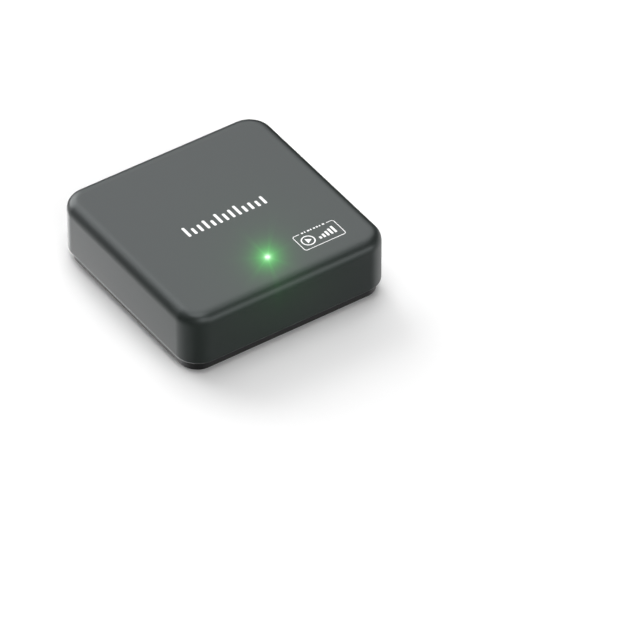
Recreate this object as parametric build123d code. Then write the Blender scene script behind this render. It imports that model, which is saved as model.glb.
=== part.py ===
"""Streaming media player: a low square box with a soft-edged cover, a status light and rear sockets.

Millimetres. The origin is on the resting surface, under the middle of the box. +Z is up, the status
light is towards -Y, and the sockets face +Y. Each piece that comes apart on a bench is its own node.
"""

from build123d import *

import os

# ---- driving dimensions ------------------------------------------------------------------------
CASE_SIDE = 95.0
CASE_HEIGHT = 28.7
CORNER_RADIUS = 10.0
TOP_EDGE_RADIUS = 4.4
LOW_EDGE_RADIUS = 1.0
WALL = 2.0
CEILING = 2.2
FIT_GAP = 0.2
COVER_LOW = 4.8

BASE_LOW = 0.6
BASE_THICKNESS = 2.2
RIM_THICKNESS = 1.2
RIM_TOP = 9.0
LEDGE_TOP = 5.7

PANEL_WIDTH = 72.0
PANEL_TOP = 24.0
PANEL_THICKNESS = 1.8
PANEL_RECESS = 0.5

BOARD_LOW = 6.0
BOARD_THICKNESS = 1.6

# ---- places worked out from them ---------------------------------------------------------------
HALF = CASE_SIDE / 2
INNER_HALF = HALF - WALL
CEILING_LOW = CASE_HEIGHT - CEILING
BASE_TOP = BASE_LOW + BASE_THICKNESS
BASE_HALF = INNER_HALF - FIT_GAP
BASE_CORNER = CORNER_RADIUS - WALL - FIT_GAP
PANEL_OUT = HALF - PANEL_RECESS
PANEL_IN = PANEL_OUT - PANEL_THICKNESS
BOARD_TOP = BOARD_LOW + BOARD_THICKNESS
SOCKET_FACE = PANEL_OUT - 0.2

# ---- fasteners, feet and standoffs -------------------------------------------------------------
CASE_SCREW_X = 38.3
CASE_SCREW_Y = 37.0
CASE_SCREW_PLACES = [(x, y) for x in (-CASE_SCREW_X, CASE_SCREW_X) for y in (-CASE_SCREW_Y, CASE_SCREW_Y)]
CASE_SCREW_RADIUS = 1.25
CASE_SCREW_LENGTH = 11.0
CASE_SCREW_SEAT = 4.3
CASE_SCREW_HEAD = 2.4
BOSS_RADIUS = 3.0
BOSS_LOW = 8.0

VENT_COUNT = 9
VENT_PITCH = 4.0
VENT_LENGTH = 22.0
VENT_WIDTH = 1.6
VENT_X = 14.5

RIB_PLACE = 22.0
RIB_HEIGHT = 1.6
RIB_HALF = 0.5

LABEL_Y = 31.0
LABEL_WIDTH = 46.0
LABEL_DEPTH = 14.0
LABEL_RECESS = 0.25

FOOT_PLACES = CASE_SCREW_PLACES
FOOT_RADIUS = 5.6
FOOT_POCKET = 0.7

BOARD_SCREW_PLACES = [(-30.0, -36.0), (30.0, -36.0), (-39.0, 24.0), (39.0, 24.0)]
BOARD_SCREW_RADIUS = 0.9
STANDOFF_RADIUS = 2.8

# ---- status light ------------------------------------------------------------------------------
LIGHT_Y = -30.8
LIGHT_RADIUS = 1.0
LIGHT_FLANGE_RADIUS = 2.0
LIGHT_LOW = 9.0

INFRARED_X = 14.0

# ---- rear sockets, from the power side to the button side ---------------------------------------
POWER_X = 29.5
VIDEO_X = 14.5
NETWORK_X = -4.0
USB_X = -21.5
RESET_X = -32.5

POWER_WIDTH = 9.0
POWER_HEIGHT = 11.0
POWER_DEPTH = 13.5
POWER_BORE = 3.1
POWER_BORE_DEPTH = 9.5
POWER_PIN_RADIUS = 1.0
POWER_Z = BOARD_TOP + 6.4

VIDEO_WIDTH = 14.0
VIDEO_HEIGHT = 4.6
VIDEO_DEPTH = 11.5
VIDEO_SHELL = 0.35
VIDEO_Z = BOARD_TOP + 0.5 + VIDEO_SHELL + VIDEO_HEIGHT / 2

NETWORK_WIDTH = 16.0
NETWORK_HEIGHT = 13.2
NETWORK_DEPTH = 16.0
NETWORK_SHELL = 0.3
NETWORK_MOUTH_WIDTH = 11.8
NETWORK_MOUTH_HEIGHT = 6.8
NETWORK_MOUTH_DEPTH = 12.5
NETWORK_MOUTH_TOP = BOARD_TOP + 11.2

USB_WIDTH = 12.5
USB_HEIGHT = 5.1
USB_DEPTH = 14.0
USB_SHELL = 0.35
USB_Z = BOARD_TOP + 1.0 + USB_SHELL + USB_HEIGHT / 2

RESET_RADIUS = 1.4
RESET_GAP = 0.3
RESET_Z = BOARD_TOP + 2.5
RESET_TRAVEL = 0.5
RESET_FLANGE = 1.0
RESET_SWITCH_FACE = 42.4
RESET_PLUNGER_RADIUS = 0.85

# ---- heat sink and chips -----------------------------------------------------------------------
SINK_X = 2.0
SINK_Y = 2.0
SINK_SIDE = 36.0
SINK_BASE = 2.0
SINK_FIN_HEIGHT = 8.5
SINK_FINS = 9
CHIP_SIDE = 15.0
CHIP_HEIGHT = 1.2
PAD_HEIGHT = 0.8
SINK_LOW = BOARD_TOP + CHIP_HEIGHT + PAD_HEIGHT
SINK_PIN_REACH = 14.5
SINK_PIN_PLACES = [(SINK_X - SINK_PIN_REACH, SINK_Y + SINK_PIN_REACH),
                   (SINK_X + SINK_PIN_REACH, SINK_Y - SINK_PIN_REACH)]
SINK_PIN_RADIUS = 1.0
SPRING_LENGTH = 4.6

# ---- radio and aerials -------------------------------------------------------------------------
RADIO_X = -30.0
RADIO_Y = -15.0
AERIAL_LENGTH = 32.0
AERIAL_HEIGHT = 7.0
AERIAL_THICKNESS = 0.6
AERIAL_Z = 14.5
LEAD_RADIUS = 0.55
PLUG_RADIUS = 1.3
PLUG_HEIGHT = 1.2


# ---- shapes used by several pieces -------------------------------------------------------------
def block(x_low, x_high, y_low, y_high, z_low, z_high):
    """A plain box between two corners."""
    size = (x_high - x_low, y_high - y_low, z_high - z_low)
    middle = ((x_low + x_high) / 2, (y_low + y_high) / 2, (z_low + z_high) / 2)
    return Pos(*middle) * Box(*size)


def centred(x, y, z_low, width, depth, height, edge=0.0):
    """A box standing on z_low over (x, y), with its upright edges rounded if edge is given."""
    body = Pos(x, y, z_low + height / 2) * Box(width, depth, height)
    if edge:
        body = fillet(body.edges().filter_by(Axis.Z), edge)
    return body


def post(x, y, z_low, z_high, radius):
    """An upright cylinder."""
    return Pos(x, y, (z_low + z_high) / 2) * Cylinder(radius, z_high - z_low)


def bar_along_y(x, z, y_low, y_high, radius):
    """A cylinder lying along Y."""
    return Pos(x, (y_low + y_high) / 2, z) * Rot(90, 0, 0) * Cylinder(radius, y_high - y_low)


def rounded_block(side, corner, z_low, z_high, top_edge=0.0, low_edge=0.0):
    """A square block with rounded upright edges, and rounded top and bottom edges if given."""
    body = extrude(Pos(0, 0, z_low) * RectangleRounded(side, side, corner), z_high - z_low)
    if top_edge:
        body = fillet(body.faces().sort_by(Axis.Z)[-1].edges(), top_edge)
    if low_edge:
        body = fillet(body.faces().sort_by(Axis.Z)[0].edges(), low_edge)
    return body


def prism_along_y(points, y_low, y_high):
    """A closed outline of (x, z) points, drawn out along Y."""
    outline = Plane.XZ.offset(-y_low) * make_face(Polyline(*points, close=True))
    return extrude(outline, y_low - y_high)


# ---- case --------------------------------------------------------------------------------------
def top_cover():
    """Cover: the top and all four walls in one moulding, with screw bosses and a light guide collar."""
    outer = rounded_block(CASE_SIDE, CORNER_RADIUS, COVER_LOW, CASE_HEIGHT, TOP_EDGE_RADIUS, LOW_EDGE_RADIUS)
    hollow = rounded_block(2 * INNER_HALF, CORNER_RADIUS - WALL, COVER_LOW - 5, CEILING_LOW,
                           TOP_EDGE_RADIUS - WALL)
    cover = outer - hollow
    window_half = PANEL_WIDTH / 2 + FIT_GAP
    cover -= block(-window_half, window_half, INNER_HALF - 3, HALF + 1, COVER_LOW - 1, PANEL_TOP + FIT_GAP)
    for x, y in CASE_SCREW_PLACES:
        cover += post(x, y, BOSS_LOW, CEILING_LOW + 0.1, BOSS_RADIUS)
        cover -= post(x, y, BOSS_LOW - 1, BOSS_LOW + CASE_SCREW_LENGTH, CASE_SCREW_RADIUS + 0.05)
    rib_low = CEILING_LOW - RIB_HEIGHT
    rib_end = INNER_HALF - 1
    for place in (-RIB_PLACE, RIB_PLACE):
        near, far = place - RIB_HALF, place + RIB_HALF
        cover += block(near, far, -rib_end, rib_end, rib_low, CEILING_LOW + 0.1)
        cover += block(-rib_end, rib_end, near, far, rib_low, CEILING_LOW + 0.1)
    cover += post(0, LIGHT_Y, CEILING_LOW - 3.5, CEILING_LOW + 0.1, LIGHT_FLANGE_RADIUS + 1.2)
    cover -= post(0, LIGHT_Y, CEILING_LOW - 4, CEILING_LOW, LIGHT_FLANGE_RADIUS + 0.05)
    cover -= post(0, LIGHT_Y, CEILING_LOW - 1, CASE_HEIGHT + 1, LIGHT_RADIUS + 0.05)
    return cover


def video_outline(grow):
    """The video socket's outline, wide above and narrowed below, grown all round by grow."""
    half = VIDEO_WIDTH / 2 + grow
    low_half = 5.4 + grow
    high = VIDEO_Z + VIDEO_HEIGHT / 2 + grow
    low = VIDEO_Z - VIDEO_HEIGHT / 2 - grow
    bend = VIDEO_Z - 0.4 - 0.4 * grow
    xs = (half, half, low_half, -low_half, -half, -half)
    zs = (high, bend, low, low, bend, high)
    return [(VIDEO_X + x, z) for x, z in zip(xs, zs)]


def port_windows():
    """The openings in the rear panel, each a little larger than what fills it."""
    y_low, y_high = PANEL_IN - 1, PANEL_OUT + 1
    net_half = NETWORK_WIDTH / 2 + 0.25
    usb_half = USB_WIDTH / 2 + USB_SHELL + 0.25
    usb_rise = USB_HEIGHT / 2 + USB_SHELL + 0.25
    return [
        bar_along_y(POWER_X, POWER_Z, y_low, y_high, POWER_BORE + 0.5),
        prism_along_y(video_outline(VIDEO_SHELL + 0.25), y_low, y_high),
        block(NETWORK_X - net_half, NETWORK_X + net_half, y_low, y_high,
              BOARD_TOP - 0.1, BOARD_TOP + NETWORK_HEIGHT + 0.25),
        block(USB_X - usb_half, USB_X + usb_half, y_low, y_high, USB_Z - usb_rise, USB_Z + usb_rise),
        bar_along_y(RESET_X, RESET_Z, y_low, y_high, RESET_RADIUS + RESET_GAP),
    ]


def base_cover():
    """Base tray: a floor and a rim that show below the cover, a ledge that carries the socket panel,
    screw towers, board standoffs, foot pockets and air slots."""
    base = rounded_block(2 * BASE_HALF, BASE_CORNER, BASE_LOW, BASE_TOP)
    rim = rounded_block(2 * BASE_HALF, BASE_CORNER, BASE_TOP - 0.1, RIM_TOP)
    rim -= rounded_block(2 * (BASE_HALF - RIM_THICKNESS), BASE_CORNER - RIM_THICKNESS, BASE_LOW, RIM_TOP + 1)
    half = PANEL_WIDTH / 2
    base += rim - block(-half, half, BASE_HALF - 3, BASE_HALF + 1, LEDGE_TOP, RIM_TOP + 1)
    base += block(-half, half, BASE_HALF - RIM_THICKNESS, PANEL_OUT, COVER_LOW, LEDGE_TOP)
    base += block(-half, half, PANEL_IN, PANEL_OUT, COVER_LOW, PANEL_TOP)
    for x, y in CASE_SCREW_PLACES:
        base += post(x, y, BASE_TOP - 0.1, BOSS_LOW, BOSS_RADIUS + 0.2)
        base -= post(x, y, 0, BOSS_LOW + 1, CASE_SCREW_RADIUS + 0.2)
        base -= post(x, y, 0, CASE_SCREW_SEAT, CASE_SCREW_HEAD + 0.3)
        base -= post(x, y, 0, BASE_LOW + FOOT_POCKET, FOOT_RADIUS + 0.1)
    for x, y in BOARD_SCREW_PLACES:
        base += post(x, y, BASE_TOP - 0.1, BOARD_LOW, STANDOFF_RADIUS)
        base -= post(x, y, BASE_TOP, BOARD_LOW + 1, BOARD_SCREW_RADIUS + 0.05)
    for side in (-1, 1):
        for n in range(VENT_COUNT):
            y = (n - (VENT_COUNT - 1) / 2) * VENT_PITCH
            slot = Pos(side * VENT_X, y, 0) * SlotOverall(VENT_LENGTH, VENT_WIDTH)
            base -= extrude(slot, BASE_TOP + 1)
    base -= centred(0, LABEL_Y, BASE_LOW - 1, LABEL_WIDTH, LABEL_DEPTH, 1 + LABEL_RECESS, 1.5)
    for window in port_windows():
        base -= window
    return base


def rubber_foot(x, y):
    """A stick-on foot that fills its pocket and hides a case screw."""
    foot = post(x, y, 0, BASE_LOW + FOOT_POCKET, FOOT_RADIUS)
    return fillet(foot.faces().sort_by(Axis.Z)[0].edges(), 0.5)


def rating_label():
    """A thin blank label in its recess on the underside."""
    thickness = LABEL_RECESS - 0.05
    return centred(0, LABEL_Y, BASE_LOW + 0.05, LABEL_WIDTH - 0.4, LABEL_DEPTH - 0.4, thickness, 1.3)


def case_screws():
    """Four pan-head screws, up through the base towers into the cover's bosses."""
    screws = []
    for x, y in CASE_SCREW_PLACES:
        head = post(x, y, CASE_SCREW_SEAT - 1.6, CASE_SCREW_SEAT, CASE_SCREW_HEAD)
        recess = centred(x, y, CASE_SCREW_SEAT - 1.7, 2.6, 0.6, 0.9)
        recess += centred(x, y, CASE_SCREW_SEAT - 1.7, 0.6, 2.6, 0.9)
        shank = post(x, y, CASE_SCREW_SEAT - 0.1, CASE_SCREW_SEAT + CASE_SCREW_LENGTH, CASE_SCREW_RADIUS)
        screws.append(head + shank - recess)
    return screws


# ---- circuit board and what is soldered to it ----------------------------------------------------
def main_board():
    """Board: cut away at its four corners for the screw towers, drilled for screws and sink pins."""
    board = block(-34.6, 34.6, -41.0, PANEL_IN - 0.6, BOARD_LOW, BOARD_TOP)
    board += block(-43.0, 43.0, -32.4, 32.4, BOARD_LOW, BOARD_TOP)
    for x, y in BOARD_SCREW_PLACES:
        board -= post(x, y, BOARD_LOW - 1, BOARD_TOP + 1, BOARD_SCREW_RADIUS + 0.3)
    for x, y in SINK_PIN_PLACES:
        board -= post(x, y, BOARD_LOW - 1, BOARD_TOP + 1, SINK_PIN_RADIUS + 0.2)
    return board


def board_screws():
    """Four small screws that hold the board down on its standoffs."""
    screws = []
    for x, y in BOARD_SCREW_PLACES:
        head = post(x, y, BOARD_TOP, BOARD_TOP + 1.3, 2.2)
        recess = centred(x, y, BOARD_TOP + 0.6, 2.2, 0.5, 0.8)
        recess += centred(x, y, BOARD_TOP + 0.6, 0.5, 2.2, 0.8)
        shank = post(x, y, BASE_TOP + 0.4, BOARD_TOP + 0.1, BOARD_SCREW_RADIUS)
        screws.append(head + shank - recess)
    return screws


def chip(x, y, width, depth, height):
    """A flat package on the board, with a small dimple by its first pin."""
    body = centred(x, y, BOARD_TOP, width, depth, height)
    top = BOARD_TOP + height
    dimple = post(x - width / 2 + 1.2, y + depth / 2 - 1.2, top - 0.1, top + 1, 0.4)
    return body - dimple


def power_inductors():
    """Three moulded inductors of the voltage converters."""
    return [centred(30.0, 9.0 - 7.0 * n, BOARD_TOP, 5.0, 5.0, 2.4, 0.8) for n in range(3)]


def filter_capacitors():
    """Two aluminium can capacitors on square feet, behind the power socket."""
    cans = []
    for x, y in ((31.5, 24.5), (23.0, 27.0)):
        can = post(x, y, BOARD_TOP + 0.9, BOARD_TOP + 6.2, 3.1)
        can = fillet(can.faces().sort_by(Axis.Z)[-1].edges(), 0.5)
        cans.append(can + centred(x, y, BOARD_TOP, 6.6, 6.6, 1.0, 0.6))
    return cans


def chip_capacitors():
    """Small ceramic capacitors, in two rows beside the processor and one by the radio."""
    places = [(SINK_X - 10.5, SINK_Y - 7.5 + 3.0 * n) for n in range(6)]
    places += [(24.0, -12.0 + 2.2 * n) for n in range(5)]
    places += [(-36.0 + 2.6 * n, -4.0) for n in range(5)]
    return [centred(x, y, BOARD_TOP, 1.0, 1.6, 0.8) for x, y in places]


def crystal_can():
    """The clock crystal in its pressed metal can."""
    return centred(-21.0, 8.0, BOARD_TOP, 3.2, 5.0, 1.1, 0.9)


def infrared_receiver():
    """Receiver for the handset's signals: a small block on the board's front edge, with a domed lens."""
    x, face = INFRARED_X, -40.6
    body = block(x - 2.8, x + 2.8, face, face + 3.0, BOARD_TOP, BOARD_TOP + 6.4)
    dome = Pos(x, face + 0.6, BOARD_TOP + 3.9) * Sphere(2.2)
    return body + (dome & block(x - 3, x + 3, face - 3, face + 0.5, BOARD_TOP, BOARD_TOP + 8))


def heat_sink():
    """Finned aluminium sink over the processor, cleared at two corners for its push pins."""
    half = SINK_SIDE / 2
    top = SINK_LOW + SINK_BASE
    sink = centred(SINK_X, SINK_Y, SINK_LOW, SINK_SIDE, SINK_SIDE, SINK_BASE)
    pitch = (SINK_SIDE - 1.2) / (SINK_FINS - 1)
    for n in range(SINK_FINS):
        x = SINK_X - half + 0.6 + n * pitch
        sink += block(x - 0.6, x + 0.6, SINK_Y - half, SINK_Y + half, top - 0.1, top + SINK_FIN_HEIGHT)
    for x, y in SINK_PIN_PLACES:
        sink -= post(x, y, top, top + SINK_FIN_HEIGHT + 1, 3.4)
        sink -= post(x, y, SINK_LOW - 1, top + 1, SINK_PIN_RADIUS + 0.2)
    return sink


def heat_sink_pins():
    """Two push pins: a round head, a shank through sink and board, and a barb under the board."""
    top = SINK_LOW + SINK_BASE + SPRING_LENGTH
    pins = []
    for x, y in SINK_PIN_PLACES:
        pin = post(x, y, top, top + 1.0, 2.5) + post(x, y, BOARD_LOW - 1.6, top + 0.1, SINK_PIN_RADIUS)
        barb = Pos(x, y, BOARD_LOW - 0.75) * Cone(SINK_PIN_RADIUS * 0.6, SINK_PIN_RADIUS + 0.45, 1.5)
        pins.append(pin + barb)
    return pins


def heat_sink_springs():
    """Two wire springs that press the sink on the processor."""
    wire = 0.28
    mean = 1.75
    low = SINK_LOW + SINK_BASE
    springs = []
    for x, y in SINK_PIN_PLACES:
        path = Helix(pitch=1.15, height=SPRING_LENGTH - 2 * wire - 0.04, radius=mean)
        profile = Plane(path @ 0, z_dir=path % 0) * Circle(wire)
        spring = sweep(profile, path, is_frenet=True)
        springs.append(Pos(x, y, low + wire + 0.02) * spring)
    return springs


# ---- radio -------------------------------------------------------------------------------------
def radio_module():
    """Wi-Fi and Bluetooth board, soldered flat on the main board."""
    return centred(RADIO_X, RADIO_Y, BOARD_TOP, 15.0, 16.0, 0.8)


def radio_shield():
    """Pressed tin can over the radio chip, open below."""
    low = BOARD_TOP + 0.8
    can = centred(RADIO_X, RADIO_Y - 1.5, low, 12.0, 10.0, 1.6, 0.6)
    return can - centred(RADIO_X, RADIO_Y - 1.5, low - 1, 11.6, 9.6, 2.4, 0.4)


def aerial(side):
    """Printed aerial strip stuck on the cover's inner side wall, towards -X for side -1."""
    x = side * (INNER_HALF - AERIAL_THICKNESS / 2)
    return Pos(x, -6.0, AERIAL_Z) * Box(AERIAL_THICKNESS, AERIAL_LENGTH, AERIAL_HEIGHT)


def aerial_lead(points, radii):
    """Thin screened lead: a snap plug on the radio, and a tube along the points, with rounded corners."""
    x, y, _ = points[0]
    base = BOARD_TOP + 0.8
    plug = post(x, y, base, base + PLUG_HEIGHT, PLUG_RADIUS)
    path = FilletPolyline(*points, radius=radii)
    profile = Plane(path @ 0, z_dir=path % 0) * Circle(LEAD_RADIUS)
    return [plug, sweep(profile, path)]


def aerial_lead_left():
    """The short lead, to the near wall."""
    start = BOARD_TOP + 0.8 + PLUG_HEIGHT
    wall = -INNER_HALF + AERIAL_THICKNESS
    points = [(-34.0, -9.5, start), (-34.0, -9.5, AERIAL_Z), (wall, -9.5, AERIAL_Z)]
    return aerial_lead(points, 2.2)


def aerial_lead_right():
    """The long lead, along the front of the board to the far wall."""
    start = BOARD_TOP + 0.8 + PLUG_HEIGHT
    wall = INNER_HALF - AERIAL_THICKNESS
    level = start + 2.4
    points = [
        (-26.0, -9.5, start),
        (-26.0, -9.5, level),
        (-19.5, -14.0, level),
        (-16.0, -24.5, level),
        (33.0, -24.5, level),
        (38.0, -15.0, AERIAL_Z),
        (wall, -15.0, AERIAL_Z),
    ]
    return aerial_lead(points, [1.1, 1.6, 4.5, 4.5, 2.2])


# ---- sockets -----------------------------------------------------------------------------------
def video_shell():
    """Steel shell of the video socket, with solder feet on the board."""
    back = SOCKET_FACE - VIDEO_DEPTH
    shell = prism_along_y(video_outline(VIDEO_SHELL), back, SOCKET_FACE)
    shell -= prism_along_y(video_outline(0), back - 1, SOCKET_FACE + 1)
    low = VIDEO_Z - VIDEO_HEIGHT / 2 - VIDEO_SHELL
    for x in (-1, 1):
        for y in (back + 1.5, back + 7.5):
            reach = sorted((VIDEO_X + x * 4.6, VIDEO_X + x * 7.4))
            shell += block(*reach, y - 0.9, y + 0.9, BOARD_TOP, BOARD_TOP + 0.3)
            shell += block(*sorted((VIDEO_X + x * 4.6, VIDEO_X + x * 5.0)), y - 0.9, y + 0.9,
                           BOARD_TOP, low + 0.1)
    return shell


def video_tongue():
    """Plastic core of the video socket: the back wall and the tongue that carries the contacts."""
    back = SOCKET_FACE - VIDEO_DEPTH
    wall = prism_along_y(video_outline(-0.02), back, back + 2.0)
    half = VIDEO_WIDTH / 2 - 1.1
    return wall + block(VIDEO_X - half, VIDEO_X + half, back + 1.9, SOCKET_FACE - 1.2,
                        VIDEO_Z - 0.2, VIDEO_Z + 1.0)


def video_contacts():
    """Nineteen gold strips, ten above the tongue and nine below."""
    y_low, y_high = SOCKET_FACE - VIDEO_DEPTH + 2.0, SOCKET_FACE - 1.7
    strips = []
    for count, z_low, z_high in ((10, VIDEO_Z + 1.0, VIDEO_Z + 1.12), (9, VIDEO_Z - 0.32, VIDEO_Z - 0.2)):
        for n in range(count):
            x = VIDEO_X + (n - (count - 1) / 2) * 1.1
            strips.append(block(x - 0.25, x + 0.25, y_low, y_high, z_low, z_high))
    return strips


def network_shell():
    """Screening can round the network socket, open at the front and below, with two earth springs."""
    back = SOCKET_FACE - NETWORK_DEPTH
    half = NETWORK_WIDTH / 2
    high = BOARD_TOP + NETWORK_HEIGHT
    shell = block(NETWORK_X - half, NETWORK_X + half, back, SOCKET_FACE, BOARD_TOP, high)
    inner = half - NETWORK_SHELL
    shell -= block(NETWORK_X - inner, NETWORK_X + inner, back + NETWORK_SHELL, SOCKET_FACE + 1,
                   BOARD_TOP - 1, high - NETWORK_SHELL)
    return shell


def network_outline():
    """The plug's way in: a wide body with a stepped slot below for the latch."""
    top = NETWORK_MOUTH_TOP
    low = top - NETWORK_MOUTH_HEIGHT
    half = NETWORK_MOUTH_WIDTH / 2
    steps = [(half, top), (half, low), (3.1, low), (3.1, low - 1.4), (1.7, low - 1.4), (1.7, low - 3.0)]
    right = [(NETWORK_X + x, z) for x, z in steps]
    left = [(NETWORK_X - x, z) for x, z in reversed(steps)]
    return right + left


def network_housing():
    """Plastic block inside the network socket's can, hollowed for the plug."""
    gap = 0.02
    half = NETWORK_WIDTH / 2 - NETWORK_SHELL - gap
    back = SOCKET_FACE - NETWORK_DEPTH + NETWORK_SHELL + gap
    face = SOCKET_FACE - 0.3
    body = block(NETWORK_X - half, NETWORK_X + half, back, face, BOARD_TOP,
                 BOARD_TOP + NETWORK_HEIGHT - NETWORK_SHELL - gap)
    return body - prism_along_y(network_outline(), face - NETWORK_MOUTH_DEPTH, SOCKET_FACE + 1)


def network_contacts():
    """Eight sprung wires that slope down from the ceiling of the mouth towards its back."""
    back = SOCKET_FACE - 0.3 - NETWORK_MOUTH_DEPTH
    top = NETWORK_MOUTH_TOP
    wires = []
    for n in range(8):
        x = NETWORK_X + (n - 3.5) * 1.02
        slope = [(back + 9.5, top), (back + 9.0, top), (back + 2.0, top - 1.9), (back + 2.3, top - 2.2)]
        face = Plane.YZ.offset(x - 0.18) * make_face(Polyline(*slope, close=True))
        wires.append(extrude(face, 0.36))
    return wires


def usb_shell():
    """Steel shell of the USB socket, with a flared mouth and solder feet."""
    back = SOCKET_FACE - USB_DEPTH
    half, rise = USB_WIDTH / 2 + USB_SHELL, USB_HEIGHT / 2 + USB_SHELL
    shell = block(USB_X - half, USB_X + half, back, SOCKET_FACE, USB_Z - rise, USB_Z + rise)
    shell = fillet(shell.edges().filter_by(Axis.Y), 0.5)
    hollow = block(USB_X - USB_WIDTH / 2, USB_X + USB_WIDTH / 2, back - 1, SOCKET_FACE + 1,
                   USB_Z - USB_HEIGHT / 2, USB_Z + USB_HEIGHT / 2)
    shell -= fillet(hollow.edges().filter_by(Axis.Y), 0.2)
    for x in (USB_X - half + 0.6, USB_X + half - 0.6):
        for y in (back + 3.0, back + 10.0):
            shell += centred(x, y, BOARD_TOP, 1.0, 2.0, USB_Z - rise - BOARD_TOP + 0.1)
    return shell


def usb_tongue():
    """Plastic core of the USB socket: the back wall and the tongue, which lies above the middle."""
    back = SOCKET_FACE - USB_DEPTH
    half, rise = USB_WIDTH / 2 - 0.1, USB_HEIGHT / 2 - 0.1
    wall = block(USB_X - half, USB_X + half, back, back + 2.5, USB_Z - rise, USB_Z + rise)
    return wall + block(USB_X - 5.5, USB_X + 5.5, back + 2.4, SOCKET_FACE - 1.5, USB_Z + 0.1, USB_Z + 1.95)


def usb_contacts():
    """Four spring strips under the USB tongue."""
    y_low, y_high = SOCKET_FACE - USB_DEPTH + 2.5, SOCKET_FACE - 2.2
    reaches = (-3.5, -1.0, 1.0, 3.5)
    return [block(USB_X + x - 0.5, USB_X + x + 0.5, y_low, y_high, USB_Z - 0.1, USB_Z + 0.1) for x in reaches]


def power_housing():
    """Moulded body of the power socket, bored for the barrel plug."""
    face = PANEL_IN - 0.1
    half = POWER_WIDTH / 2
    body = block(POWER_X - half, POWER_X + half, face - POWER_DEPTH, face,
                 BOARD_TOP, BOARD_TOP + POWER_HEIGHT)
    body = chamfer(body.faces().sort_by(Axis.Z)[-1].edges().filter_by(Axis.Y), 1.2)
    return body - bar_along_y(POWER_X, POWER_Z, face - POWER_BORE_DEPTH, face + 1, POWER_BORE)


def power_pin():
    """Centre pin of the power socket, with a rounded tip."""
    face = PANEL_IN - 0.1
    pin = bar_along_y(POWER_X, POWER_Z, face - POWER_BORE_DEPTH, face - 1.0, POWER_PIN_RADIUS)
    return fillet(pin.faces().sort_by(Axis.Y)[-1].edges(), 0.6)


def power_contact():
    """The side spring that touches the outside of the barrel plug."""
    face = PANEL_IN - 0.1
    low = POWER_Z - POWER_BORE
    upper = [(face - 9.4, low + 0.55), (face - 5.0, low + 0.95), (face - 2.5, low + 0.6)]
    lower = [(face - 2.5, low + 0.3), (face - 5.0, low + 0.65), (face - 9.4, low + 0.25)]
    outline = Plane.YZ.offset(POWER_X - 0.7) * make_face(Polyline(*upper, *lower, close=True))
    return extrude(outline, 1.4)


# ---- reset button ------------------------------------------------------------------------------
def reset_switch():
    """Side-push switch body on the board, with a well for its plunger."""
    body = block(RESET_X - 2.0, RESET_X + 2.0, RESET_SWITCH_FACE - 4.4, RESET_SWITCH_FACE,
                 BOARD_TOP, BOARD_TOP + 4.4)
    well_depth = 1.0 + RESET_TRAVEL + RESET_GAP
    return body - bar_along_y(RESET_X, RESET_Z, RESET_SWITCH_FACE - well_depth, RESET_SWITCH_FACE + 1,
                              RESET_PLUNGER_RADIUS + 0.05)


def reset_plunger():
    """The switch's own plunger, which the button pushes and which slides in the switch's well."""
    return bar_along_y(RESET_X, RESET_Z, RESET_SWITCH_FACE - 1.0, PANEL_IN - RESET_GAP - RESET_FLANGE,
                       RESET_PLUNGER_RADIUS)


def reset_button():
    """Button in the rear panel, kept in by a flange behind it."""
    flange_face = PANEL_IN - RESET_GAP
    flange = bar_along_y(RESET_X, RESET_Z, flange_face - RESET_FLANGE, flange_face, RESET_RADIUS + 0.6)
    stem = bar_along_y(RESET_X, RESET_Z, flange_face - 0.1, PANEL_OUT - 0.3, RESET_RADIUS)
    stem = fillet(stem.faces().sort_by(Axis.Y)[-1].edges(), 0.35)
    return flange + stem


# ---- status light ------------------------------------------------------------------------------
def status_led():
    """Green light-emitting diode under the light guide, with a lens on its square foot."""
    foot = centred(0, LIGHT_Y, BOARD_TOP, 1.6, 1.6, 0.5)
    return foot + post(0, LIGHT_Y, BOARD_TOP + 0.4, BOARD_TOP + 1.0, 0.6)


def light_guide():
    """Clear rod that carries the light to the cover's top, hung in its collar by a flange."""
    rod = post(0, LIGHT_Y, LIGHT_LOW, CASE_HEIGHT, LIGHT_RADIUS)
    return rod + post(0, LIGHT_Y, CEILING_LOW - 1.5, CEILING_LOW, LIGHT_FLANGE_RADIUS)


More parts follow.
